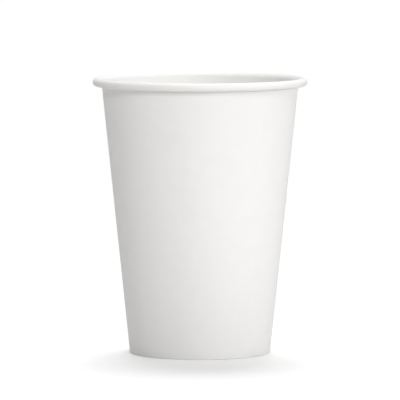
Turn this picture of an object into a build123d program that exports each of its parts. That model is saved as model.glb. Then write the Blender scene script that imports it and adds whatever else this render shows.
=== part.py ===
from build123d import *
from math import asin, atan2, cos, degrees, hypot, sin, tan
import os

# A single-wall paper cup made of two pieces of board. It stands on the plane Z = 0, centred on the Z axis.
# Lengths are in millimetres and angles in degrees.

# The cup as a whole
HEIGHT = 115.5             # table to the top of the rolled rim
RIM_DIAMETER = 90.0        # outside of the rolled rim, the size that a lid fits over
BASE_DIAMETER = 59.0       # outside of the wall, carried straight down to the table

# The two boards
WALL_BOARD = 0.36          # thickness of the side wall's board
BASE_BOARD = 0.30          # thickness of the bottom's board
BOND_GAP = 0.03            # bond line on each face of the bottom's skirt

# The rolled rim
CURL_RADIUS = 1.75         # outside radius of the roll
CURL_GAP = 0.25            # room between the roll and the wall that it leaves
TUCK_RADIUS = 1.5          # outside radius of the board's edge, tucked up inside the roll
TUCK_TURN = 100.0          # turn of that edge, from the underside of the roll

# The side seam
LAP_WIDTH = 6.5            # overlap of the wall's two edges, measured round the base
CLIMB_WIDTH = 2.6          # run in which the outer edge climbs over the inner one, round the base
SEAM_ANGLE = 160.0         # where the inner edge stands, from +X towards +Y

# The folded foot
HEM_HEIGHT = 6.0           # height of the wall's folded-in edge
HEM_HEADROOM = 1.5         # from the top of that edge to the underside of the bottom
FOLD_RADIUS = 0.4          # outside corner radius of the fold
SKIRT_BEND_RADIUS = 0.8    # outside radius of the bend between the bottom and its skirt

# The rim: a wide bend leads the wall to the top of the roll
lead_radius = CURL_RADIUS + WALL_BOARD + CURL_GAP
rim_axis = RIM_DIAMETER / 2 - CURL_RADIUS
lead_height = HEIGHT - lead_radius
roll_height = HEIGHT - CURL_RADIUS
tuck_height = roll_height - CURL_RADIUS + TUCK_RADIUS

# The wall's outer face leaves the base edge and meets the inside of the lead bend as a tangent
flare = rim_axis - BASE_DIAMETER / 2
taper = atan2(flare, lead_height) - asin((lead_radius - WALL_BOARD) / hypot(flare, lead_height))

# The seam: the level width of one board, and two arcs about the cup's axis
lap_step = WALL_BOARD / cos(taper)
lap_arc = LAP_WIDTH / (BASE_DIAMETER / 2)
climb_arc = CLIMB_WIDTH / (BASE_DIAMETER / 2)

# Layers of the foot, as depths behind the wall's outer face
skirt_outside = WALL_BOARD + BOND_GAP
skirt_inside = skirt_outside + BASE_BOARD
hem_outside = skirt_inside + BOND_GAP
hem_inside = hem_outside + WALL_BOARD
fold_middle = hem_inside / 2

# Heights in the foot
skirt_bottom = WALL_BOARD + BOND_GAP
recess_depth = HEM_HEIGHT + HEM_HEADROOM
bottom_top = recess_depth + BASE_BOARD
skirt_top = bottom_top - SKIRT_BEND_RADIUS


def behind_wall(depth, height):
    """Point of the section at a height, a depth behind the wall's outer face."""
    return (BASE_DIAMETER / 2 + height * tan(taper) - depth / cos(taper), height)


def corner(section, depth, height):
    """The vertex of a section that stands at that depth and height."""
    return section.vertices().sort_by_distance(behind_wall(depth, height))[0]


def turned(section, start, arc):
    """A section, drawn as radius and height, turned about Z."""
    return Rot(0, 0, start) * revolve(Plane.XZ * section, Axis.Z, arc)


def rim_line(depth):
    """The rim's three bends, a depth behind the face that shows."""
    return [
        CenterArc((rim_axis, lead_height), lead_radius - depth, 90, 90 - degrees(taper)),
        CenterArc((rim_axis, roll_height), CURL_RADIUS - depth, 90, -180),
        CenterArc((rim_axis, tuck_height), TUCK_RADIUS - depth, -90, -TUCK_TURN),
    ]


def wall_section():
    """The wall from the flat of its foot up into the rolled rim."""
    shown = rim_line(0)
    hidden = rim_line(WALL_BOARD)
    tucked_edge = Line(shown[-1] @ 1, hidden[-1] @ 1)
    foot = Polyline(
        shown[0] @ 1,
        behind_wall(WALL_BOARD, WALL_BOARD),
        behind_wall(fold_middle, WALL_BOARD),
        behind_wall(fold_middle, 0),
        behind_wall(0, 0),
        hidden[0] @ 1,
    )
    section = make_face([*shown, tucked_edge, *hidden, foot])
    return fillet(corner(section, 0, 0), FOLD_RADIUS)


def foot_section():
    """The fold and its hem, with the strip of wall that the skirt is bonded to."""
    outline = Polyline(
        behind_wall(0, 0),
        behind_wall(0, skirt_top),
        behind_wall(WALL_BOARD, skirt_top),
        behind_wall(WALL_BOARD, WALL_BOARD),
        behind_wall(hem_outside, WALL_BOARD),
        behind_wall(hem_outside, HEM_HEIGHT),
        behind_wall(hem_inside, HEM_HEIGHT),
        behind_wall(hem_inside, 0),
        close=True,
    )
    section = make_face(outline)
    return fillet([corner(section, 0, 0), corner(section, hem_inside, 0)], FOLD_RADIUS)


def climb(depth, low, high):
    """Wedge that rises one board from a face of the wall, up to the seam's inner edge."""
    sections = []
    for height in (low, high):
        radius = behind_wall(depth, height)[0]
        start = (radius * cos(climb_arc), -radius * sin(climb_arc))
        outline = Polyline(start, (radius + lap_step, 0), (radius - lap_step / 2, 0), close=True)
        sections.append(Pos(0, 0, height) * make_face(outline))
    return loft(sections, ruled=True)


def side_wall():
    """One sheet whose second edge climbs over the first and is sealed to it."""
    wall = wall_section()
    ring = turned(wall + foot_section(), 180, 360)
    lap_layer = Pos(lap_step, 0) * wall + Pos(lap_step / 2, 0) * wall
    lap = turned(lap_layer, 0, degrees(lap_arc))
    outer_climb = climb(0, FOLD_RADIUS, lead_height)
    inner_climb = climb(WALL_BOARD, skirt_top, lead_height)
    return Rot(0, 0, SEAM_ANGLE) * (ring + lap + outer_climb - inner_climb)


def bottom_disc():
    """The bottom, with its edge turned down into a skirt that follows the wall."""
    outline = Polyline(
        (0, bottom_top),
        behind_wall(skirt_outside, bottom_top),
        behind_wall(skirt_outside, skirt_bottom),
        behind_wall(skirt_inside, skirt_bottom),
        behind_wall(skirt_inside, recess_depth),
        (0, recess_depth),
        close=True,
    )
    section = make_face(outline)
    section = fillet(corner(section, skirt_outside, bottom_top), SKIRT_BEND_RADIUS)
    section = fillet(corner(section, skirt_inside, recess_depth), SKIRT_BEND_RADIUS - BASE_BOARD)
    return turned(section, 0, 360)


os.makedirs("parts", exist_ok=True)
export_step(side_wall(), "parts/side_wall.step")
export_step(bottom_disc(), "parts/bottom_disc.step")
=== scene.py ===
import math

import bmesh
import bpy
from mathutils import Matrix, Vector


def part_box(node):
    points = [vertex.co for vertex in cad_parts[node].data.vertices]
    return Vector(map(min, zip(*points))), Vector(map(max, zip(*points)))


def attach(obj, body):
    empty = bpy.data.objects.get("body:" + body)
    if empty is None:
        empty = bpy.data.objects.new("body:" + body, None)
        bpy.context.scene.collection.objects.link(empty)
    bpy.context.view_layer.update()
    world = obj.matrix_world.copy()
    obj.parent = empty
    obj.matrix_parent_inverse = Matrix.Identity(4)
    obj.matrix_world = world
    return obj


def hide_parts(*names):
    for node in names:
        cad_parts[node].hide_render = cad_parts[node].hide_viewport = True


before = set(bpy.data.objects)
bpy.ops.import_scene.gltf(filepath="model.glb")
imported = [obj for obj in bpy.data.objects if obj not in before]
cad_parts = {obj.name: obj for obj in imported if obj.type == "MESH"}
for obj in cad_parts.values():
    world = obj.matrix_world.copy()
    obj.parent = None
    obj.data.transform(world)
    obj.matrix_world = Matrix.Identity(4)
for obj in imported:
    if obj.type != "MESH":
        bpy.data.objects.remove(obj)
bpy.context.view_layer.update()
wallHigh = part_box("side_wall")[1]
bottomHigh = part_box("bottom_disc")[1]
mm = 0.001
print("frame loaded, cup height in mm:", round(wallHigh.z / mm, 2))


# Camera: a long lens, a little above the rim, as the photo was taken
photoCamera = {
    "place": (0.0, -1.8003, 0.2178),   # metres
    "aimAt": (0.0, 0.0, 0.06404),
    "lens": 387.4,                     # millimetres, like the sensor
    "sensor": 36.0,
    "nearest": 0.1,
    "farthest": 50.0,
}


def addPhotoCamera(c):
    bpy.ops.object.camera_add(location=c["place"])
    camera = bpy.context.object
    lookAlong = Vector(c["aimAt"]) - Vector(c["place"])
    camera.rotation_euler = lookAlong.to_track_quat("-Z", "Y").to_euler()
    camera.data.lens = c["lens"]
    camera.data.sensor_width = c["sensor"]
    camera.data.clip_start = c["nearest"]
    camera.data.clip_end = c["farthest"]
    bpy.context.scene.camera = camera


addPhotoCamera(photoCamera)
print("camera placed")


# A socket with operators, so that shader maths reads as plain expressions
class Wire:
    def __init__(self, tree, socket=None):
        self.tree = tree
        self.socket = socket

    def node(self, kind, settings, sockets, output=0):
        made = self.tree.nodes.new(kind)
        for key, value in settings.items():
            setattr(made, key, value)
        for key, value in sockets.items():
            if isinstance(value, Wire):
                self.tree.links.new(value.socket, made.inputs[key])
            else:
                made.inputs[key].default_value = value
        return Wire(self.tree, made.outputs[output])

    def maths(self, operation, first, second):
        return self.node("ShaderNodeMath", {"operation": operation}, {0: first, 1: second})

    def __add__(self, other):
        return self.maths("ADD", self, other)

    __radd__ = __add__

    def __mul__(self, other):
        return self.maths("MULTIPLY", self, other)

    __rmul__ = __mul__

    def __sub__(self, other):
        return self.maths("SUBTRACT", self, other)

    def __rsub__(self, other):
        return self.maths("SUBTRACT", other, self)


def newMaterial(name):
    material = bpy.data.materials.new(name)
    material.use_nodes = True
    material.node_tree.nodes.clear()
    return material, Wire(material.node_tree)


def noise(bench, scale, detail, roughness=0.5):   # scale is per metre
    place = bench.node("ShaderNodeTexCoord", {}, {}, "Object")
    return bench.node("ShaderNodeTexNoise", {}, {
        "Vector": place, "Scale": scale, "Detail": detail, "Roughness": roughness,
    })


def mixColours(bench, share, first, second):
    return bench.node("ShaderNodeMix", {"data_type": "RGBA"}, {
        "Factor": share, "A": (*first, 1), "B": (*second, 1),
    }, 2)   # output 2 is the colour


def bump(bench, finish, height):
    return bench.node("ShaderNodeBump", {}, {
        "Strength": finish["bumpStrength"], "Distance": finish["bumpHeight"], "Height": height,
    })


def finishSurface(bench, sockets):
    shader = bench.node("ShaderNodeBsdfPrincipled", {}, sockets)
    output = bench.tree.nodes.new("ShaderNodeOutputMaterial")
    bench.tree.links.new(shader.socket, output.inputs["Surface"])


# Uncoated board, as on the outside of the cup: matt, with a faint cloud of fibres
uncoated = {
    "white": (0.948, 0.938, 0.922),
    "shade": (0.898, 0.888, 0.871),
    "cloud": {"scale": 210, "detail": 3},
    "fibre": {"scale": 1500, "detail": 5, "roughness": 0.65},
    "cloudShare": 0.45,
    "contrast": 1.6,
    "roughness": 0.72,
    "roughnessSpread": 0.14,
    "specular": 0.35,
    "bumpHeight": 0.04 * mm,
    "bumpStrength": 0.5,
}


def uncoatedBoard(u):
    material, bench = newMaterial("uncoatedBoard")
    cloud = noise(bench, **u["cloud"])
    fibre = noise(bench, **u["fibre"])
    mixed = u["cloudShare"] * cloud + (1 - u["cloudShare"]) * fibre
    pulp = 0.5 + u["contrast"] * (mixed - 0.5)   # stretched about the middle of the noise
    finishSurface(bench, {
        "Base Color": mixColours(bench, pulp, u["shade"], u["white"]),
        "Roughness": u["roughness"] + u["roughnessSpread"] * fibre,
        "Specular IOR Level": u["specular"],
        "Normal": bump(bench, u, pulp),
    })
    return material


# Coated board, as on the inside and over the rolled rim: a thin clear film with a soft gloss
coated = {
    "white": (0.94, 0.931, 0.917),
    "shade": (0.91, 0.901, 0.885),
    "cloud": {"scale": 210, "detail": 3},
    "ripple": {"scale": 640, "detail": 2},
    "roughness": 0.46,
    "roughnessSpread": 0.12,
    "specular": 0.25,
    "bumpHeight": 0.02 * mm,
    "bumpStrength": 0.2,
}


def coatedBoard(c):
    material, bench = newMaterial("coatedBoard")
    cloud = noise(bench, **c["cloud"])
    ripple = noise(bench, **c["ripple"])
    finishSurface(bench, {
        "Base Color": mixColours(bench, cloud, c["shade"], c["white"]),
        "Roughness": c["roughness"] + c["roughnessSpread"] * ripple,
        "Specular IOR Level": c["specular"],
        "Normal": bump(bench, c, ripple),
    })
    return material


# Cut edge: the bare fibres between the two faces of the board
cut = {
    "pale": (0.90, 0.885, 0.85),
    "dark": (0.80, 0.775, 0.72),
    "plies": {"scale": 2600, "detail": 4, "roughness": 0.7},
    "roughness": 0.92,
    "roughnessSpread": 0.1,
    "bumpHeight": 0.04 * mm,
    "bumpStrength": 0.5,
}


def cutEdge(e):
    material, bench = newMaterial("cutEdge")
    plies = noise(bench, **e["plies"])
    finishSurface(bench, {
        "Base Color": mixColours(bench, plies, e["dark"], e["pale"]),
        "Roughness": e["roughness"] - e["roughnessSpread"] * plies,
        "Normal": bump(bench, e, plies),
    })
    return material


boardFinishes = [coatedBoard(coated), uncoatedBoard(uncoated), cutEdge(cut)]
print("board finishes made")


# Small helpers for modelling in edit mode
def startFromVertex(name, point):
    bpy.ops.object.select_all(action="DESELECT")
    bpy.ops.mesh.primitive_plane_add(size=mm, location=point)
    piece = bpy.context.object
    piece.name = name
    bpy.ops.object.transform_apply(location=True, rotation=True, scale=True)
    bpy.ops.object.mode_set(mode="EDIT")
    bpy.ops.mesh.merge(type="CENTER")   # one vertex is left to draw the line from
    for material in boardFinishes:
        piece.data.materials.append(material)
    return piece


def drawLine(points):
    for start, end in zip(points, points[1:]):
        step = Vector(end) - Vector(start)
        bpy.ops.mesh.extrude_region_move(TRANSFORM_OT_translate={"value": step})


def spinRound(degrees, steps):   # counter-clockwise seen from above
    bpy.ops.mesh.spin(steps=steps, angle=math.radians(degrees), center=(0, 0, 0), axis=(0, 0, -1))


def finishSheet():   # all normals to one side, before the sheet gets its thickness
    bpy.ops.mesh.select_all(action="SELECT")
    bpy.ops.mesh.normals_make_consistent(inside=False)
    bpy.ops.object.mode_set(mode="OBJECT")


def selectVertices(piece, wanted):
    bpy.ops.mesh.select_mode(type="VERT")
    bpy.ops.mesh.select_all(action="DESELECT")
    sheet = bmesh.from_edit_mesh(piece.data)
    for vertex in sheet.verts:
        vertex.select_set(wanted(vertex))
    sheet.select_flush(True)
    bmesh.update_edit_mesh(piece.data)


def applyModifier(piece, kind, settings):
    modifier = piece.modifiers.new(kind.title(), kind)
    for key, value in settings.items():
        setattr(modifier, key, value)
    bpy.ops.object.modifier_apply(modifier=modifier.name)


def pushToUncoatedSide(piece, groupName, depth, weights):   # against the normals, each vertex by its weight
    group = piece.vertex_groups.new(name=groupName)
    for index, weight in weights.items():
        group.add([index], weight, "REPLACE")
    applyModifier(piece, "DISPLACE", {"strength": -depth, "mid_level": 0.0, "vertex_group": groupName})


def thicken(piece, thickness, smoothAngle=35):   # a sheet becomes board: two faces and a cut edge
    applyModifier(piece, "SOLIDIFY", {
        "thickness": thickness, "offset": 0.0, "use_even_offset": True, "use_quality_normals": True,
        "material_offset": 1, "material_offset_rim": 2,
    })
    bpy.ops.object.shade_smooth_by_angle(angle=math.radians(smoothAngle))


def arcPoints(centre, radius, fromDegrees, toDegrees, steps):
    points = []
    for i in range(steps + 1):
        angle = math.radians(fromDegrees + (toDegrees - fromDegrees) * i / steps)
        points.append((centre[0] + radius * math.cos(angle), centre[1] + radius * math.sin(angle)))
    return points


def towards(degrees, radius, height):   # a point of the section, turned to its place round the cup
    angle = math.radians(degrees)
    return (radius * math.cos(angle), radius * math.sin(angle), height)


def roundTheCup(point, fromDegrees):   # angle of a point, counter-clockwise from a direction
    return (math.degrees(math.atan2(point.y, point.x)) - fromDegrees) % 360


# Side wall: one sheet, drawn as a line from hem to rolled rim and spun past a full turn
wall = {
    "height": wallHigh.z,
    "rimRadius": wallHigh.x,
    "baseRadius": 29.5 * mm,
    "board": 0.36 * mm,
    "sheet": 0.35 * mm,          # drawn a little thinner, so that the two layers of the lap stay apart
    "skirtRoom": 0.36 * mm,      # between the wall and its hem
    "curlRadius": 1.75 * mm,
    "curlGap": 0.25 * mm,
    "tuckRadius": 1.5 * mm,
    "tuckTurn": 100,             # degrees
    "foldRadius": 0.4 * mm,
    "foldReach": 0.48 * mm,      # below this, the inner layer at the lap is lifted into the outer fold
    "hemHeight": 6.0 * mm,
    "knurlDepth": 0.14 * mm,     # fine ribs that the crimping wheel leaves on the hem
    "knurlFrom": 1.0 * mm,
    "knurlTo": 5.4 * mm,
    "knurlSlope": 0.3 * mm,
    "seamAngle": 160,            # degrees, where the inner edge stands
    "seamSlack": 0.1,            # degrees, so that the edge itself counts as part of the seam
    "lapWidth": 6.5 * mm,
    "climbWidth": 2.6 * mm,
    "columns": 300,              # round the cup
    "climbColumns": 6,
    "wallRows": 24,
    "foldSteps": 5,
    "leadSteps": 10,             # from the wall into the roll
    "curlSteps": 24,
    "tuckSteps": 12,
}


def wallTaper(w):
    leadRadius = w["curlRadius"] + w["board"] + w["curlGap"]
    flare = w["rimRadius"] - w["curlRadius"] - w["baseRadius"]
    rise = w["height"] - leadRadius
    return math.atan2(flare, rise) - math.asin((leadRadius - w["board"]) / math.hypot(flare, rise))


def behindWall(w, depth, height):   # radius and height of a point behind the wall's outer face
    taper = wallTaper(w)
    return (w["baseRadius"] + height * math.tan(taper) - depth / math.cos(taper), height)


def degreesOf(w, width):   # how far a width reaches round the foot
    return math.degrees(width / w["baseRadius"])


def hemLine(w, tilt, half):   # down the hem and round the fold to the foot of the wall
    fold = w["foldRadius"]
    hemInside = 2 * w["board"] + w["skirtRoom"]
    rows = [
        w["hemHeight"],
        w["knurlTo"],
        w["knurlTo"] - w["knurlSlope"],
        (w["knurlFrom"] + w["knurlTo"]) / 2,
        w["knurlFrom"] + w["knurlSlope"],
        w["knurlFrom"],
    ]
    line = [behindWall(w, hemInside - half, height) for height in rows]
    line += arcPoints(behindWall(w, hemInside - fold, fold), fold - half, 180 - tilt, 270, w["foldSteps"])
    line += arcPoints(behindWall(w, fold, fold), fold - half, -90, -tilt, w["foldSteps"])
    return line


def rimLine(w, tilt, half, leadRadius):   # over into the roll, round it and back inside
    rimAxis = w["rimRadius"] - w["curlRadius"]
    rollHeight = w["height"] - w["curlRadius"]
    tuckHeight = rollHeight - w["curlRadius"] + w["tuckRadius"]
    tuckEnd = -90 - w["tuckTurn"]
    line = arcPoints((rimAxis, w["height"] - leadRadius), leadRadius - half, 180 - tilt, 90, w["leadSteps"])
    line += arcPoints((rimAxis, rollHeight), w["curlRadius"] - half, 90, -90, w["curlSteps"])[1:]
    line += arcPoints((rimAxis, tuckHeight), w["tuckRadius"] - half, -90, tuckEnd, w["tuckSteps"])[1:]
    return line


def wallLine(w):   # the middle of the board, from the hem's edge to the edge inside the roll
    tilt = math.degrees(wallTaper(w))
    half = w["board"] / 2
    leadRadius = w["curlRadius"] + w["board"] + w["curlGap"]
    line = hemLine(w, tilt, half)
    foot = line[-1][1]
    rise = w["height"] - leadRadius - foot
    rows = w["wallRows"]
    line += [behindWall(w, half, foot + rise * i / rows) for i in range(1, rows)]
    return line + rimLine(w, tilt, half, leadRadius)


def lapShare(w, vertex, firstLapVertex):   # 0 on the inner layer, 1 where the sheet has climbed over it
    if vertex.index < firstLapVertex:
        return 0.0
    climb = degreesOf(w, w["climbWidth"])
    share = min(1.0, roundTheCup(vertex.co, w["seamAngle"] - climb) / climb)
    return share * share * (3 - 2 * share)   # eased at both ends


def knurlWeights(piece, w, columnStep):   # every other column of the hem
    hemRadius = behindWall(w, w["board"] + w["skirtRoom"], 0)[0]
    slope = math.tan(wallTaper(w))
    weights = {}
    for vertex in piece.data.vertices:
        height = vertex.co.z
        onHem = math.hypot(vertex.co.x, vertex.co.y) < hemRadius + height * slope
        if onHem and w["knurlFrom"] < height < w["knurlTo"]:
            column = round(roundTheCup(vertex.co, w["seamAngle"]) / columnStep)
            weights[vertex.index] = column % 2
    return weights


def levelFoot(piece, w, firstLapVertex):
    tableLevel = w["board"] / 2
    lap = degreesOf(w, w["lapWidth"])
    seamStart = w["seamAngle"] - w["seamSlack"]
    bpy.ops.object.mode_set(mode="EDIT")
    selectVertices(piece, lambda v: v.co.z < tableLevel)   # the foot stands flat, at the lap too
    bpy.ops.transform.resize(value=(1, 1, 0), center_override=(0, 0, tableLevel))
    selectVertices(piece, lambda v: v.index < firstLapVertex and v.co.z < w["foldReach"]
                   and roundTheCup(v.co, seamStart) < lap)
    bpy.ops.transform.translate(value=(0, 0, w["board"]))   # the inner layer's fold lies inside the outer one
    bpy.ops.object.mode_set(mode="OBJECT")


def makeWall(w):
    lap = degreesOf(w, w["lapWidth"])
    climb = degreesOf(w, w["climbWidth"])
    columnStep = 360 / w["columns"]
    line = [towards(w["seamAngle"], radius, height) for radius, height in wallLine(w)]
    piece = startFromVertex("cupWall", line[0])
    drawLine(line)
    bpy.ops.mesh.select_all(action="SELECT")
    spinRound(360 - climb, round((360 - climb) / columnStep))
    piece.update_from_editmode()
    firstLapVertex = len(piece.data.vertices)   # from here on the sheet climbs over its start and laps it
    spinRound(climb, w["climbColumns"])
    spinRound(lap, round(lap / columnStep))
    finishSheet()   # the roll turns the wall's inner face outwards, so normals point to the coated side

    lapWeights = {v.index: lapShare(w, v, firstLapVertex) for v in piece.data.vertices}
    pushToUncoatedSide(piece, "lap", w["board"], lapWeights)
    pushToUncoatedSide(piece, "knurl", w["knurlDepth"], knurlWeights(piece, w, columnStep))
    levelFoot(piece, w, firstLapVertex)
    thicken(piece, w["sheet"])
    return piece


cupWall = makeWall(wall)
print("side wall modelled, faces:", len(cupWall.data.polygons))


# Bottom: a round blank with its edge turned down into a skirt
bottom = {
    "board": 0.30 * mm,
    "top": bottomHigh.z,
    "skirtDepth": 0.39 * mm,     # behind the wall's outer face
    "skirtFoot": 0.9 * mm,
    "bendRadius": 0.8 * mm,
    "bendSteps": 8,
    "rings": (0.97, 0.9, 0.75, 0.5, 0.25, 0.02),   # shares of the flat's radius
    "columns": 150,
    "mergeWithin": 0.001 * mm,
}


def bottomLine(b, w):   # the middle of the board, from the skirt's edge to the smallest ring
    tilt = math.degrees(wallTaper(w))
    half = b["board"] / 2
    bend = b["bendRadius"]
    middle = b["skirtDepth"] + half
    bendCentre = behindWall(w, b["skirtDepth"] + bend, b["top"] - bend)
    line = [behindWall(w, middle, b["skirtFoot"]), behindWall(w, middle, b["top"] / 2)]
    line += arcPoints(bendCentre, bend - half, -tilt, 90, b["bendSteps"])
    line += [(bendCentre[0] * share, b["top"] - half) for share in b["rings"]]
    return line


def makeBottom(b, w):
    line = [(radius, 0, height) for radius, height in bottomLine(b, w)]
    piece = startFromVertex("cupBottom", line[0])
    drawLine(line)
    bpy.ops.mesh.select_all(action="SELECT")
    spinRound(360, b["columns"])
    bpy.ops.mesh.select_all(action="SELECT")
    bpy.ops.mesh.remove_doubles(threshold=b["mergeWithin"])
    betweenRings = (line[-1][0] + line[-2][0]) / 2
    selectVertices(piece, lambda v: math.hypot(v.co.x, v.co.y) < betweenRings)
    bpy.ops.mesh.merge(type="CENTER")   # the smallest ring closes to the middle
    finishSheet()
    thicken(piece, b["board"])
    return piece


cupBottom = makeBottom(bottom, wall)
print("bottom modelled, faces:", len(cupBottom.data.polygons))


for piece, node, slot in ((cupWall, "side_wall", "wall_board"), (cupBottom, "bottom_disc", "bottom_board")):
    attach(piece, "root")
    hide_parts(node)
print("both pieces ride on the frame")


# Studio: a pale floor, a white surround, soft pools of light on the cup and wide lights above and behind
studio = {
    "floorSize": 16.0,
    "floorSeen": (1.0, 1.0, 1.0),         # white to the camera
    "floorBounce": (0.65, 0.65, 0.65),    # and a little greyer to the cup
    "floorLift": (0.075, 0.075, 0.075),   # a faint glow for the camera alone
    "floorRoughness": 0.9,
    "surround": 0.448,
    # name, degrees to the right of the camera, elevation, height aimed at, radius of the pool, watts
    "spots": [
        ("front", 0, 30, 0.09, 0.19, 14.0),
        ("keyRight", 30, 10, 0.065, 0.16, 26.0),
        ("right", 75, 10, 0.065, 0.16, 15.0),
    ],
    "spotDistance": 1.2,
    "spotLamp": 0.15,                     # radius of the lamp itself, for soft shadows
    # name, degrees to the right of the camera, elevation, spread in degrees, strength
    "suns": [
        ("top", 180, 74, 30, 0.477),
        ("back", 180, 66, 30, 1.09),
        ("above", 30, 50, 40, 0.07),
    ],
}


def addFloor(s):
    bpy.ops.object.select_all(action="DESELECT")
    bpy.ops.mesh.primitive_plane_add(size=s["floorSize"], location=(0, 0, 0))
    floor = bpy.context.object
    floor.name = "studioFloor"
    material, bench = newMaterial("floorPaper")
    seen = bench.node("ShaderNodeLightPath", {}, {}, "Is Camera Ray")
    finishSurface(bench, {
        "Base Color": mixColours(bench, seen, s["floorBounce"], s["floorSeen"]),
        "Emission Color": mixColours(bench, seen, (0, 0, 0), s["floorLift"]),
        "Emission Strength": 1.0,
        "Roughness": s["floorRoughness"],
        "Specular IOR Level": 0.0,
    })
    floor.data.materials.append(material)


def fromCamera(azimuth, elevation):   # a direction, in degrees to the right of the camera and above the table
    side = math.radians(azimuth)
    rise = math.radians(elevation)
    return Vector((math.sin(side) * math.cos(rise), -math.cos(side) * math.cos(rise), math.sin(rise)))


def addLight(kind, name, place, aim, settings):
    bpy.ops.object.light_add(type=kind, location=place)
    light = bpy.context.object
    light.name = name
    light.rotation_euler = (aim - place).to_track_quat("-Z", "Y").to_euler()
    light.visible_camera = False
    for key, value in settings.items():
        setattr(light.data, key, value)


def addLights(s):
    for name, azimuth, elevation, height, radius, watts in s["spots"]:   # pools that fade towards the table
        aim = Vector((0, 0, height))
        place = aim + s["spotDistance"] * fromCamera(azimuth, elevation)
        addLight("SPOT", name, place, aim, {
            "spot_size": 2 * math.atan(radius / s["spotDistance"]), "spot_blend": 1.0,
            "shadow_soft_size": s["spotLamp"], "energy": watts,
        })
    for name, azimuth, elevation, spread, strength in s["suns"]:
        place = fromCamera(azimuth, elevation)
        addLight("SUN", name, place, Vector((0, 0, 0)), {"angle": math.radians(spread), "energy": strength})


def addSurround(s):   # white to the camera, dimmer as a light
    world = bpy.data.worlds.new("whiteSurround")
    bpy.context.scene.world = world
    world.use_nodes = True
    world.node_tree.nodes.clear()
    bench = Wire(world.node_tree)
    seen = bench.node("ShaderNodeLightPath", {}, {}, "Is Camera Ray")
    strength = s["surround"] + (1.0 - s["surround"]) * seen
    shade = bench.node("ShaderNodeBackground", {}, {"Color": (1, 1, 1, 1), "Strength": strength})
    output = world.node_tree.nodes.new("ShaderNodeOutputWorld")
    world.node_tree.links.new(shade.socket, output.inputs["Surface"])


addFloor(studio)
addLights(studio)
addSurround(studio)
bpy.context.scene.view_settings.view_transform = "Standard"   # plain tones, so that white paper stays white
print("studio lit")
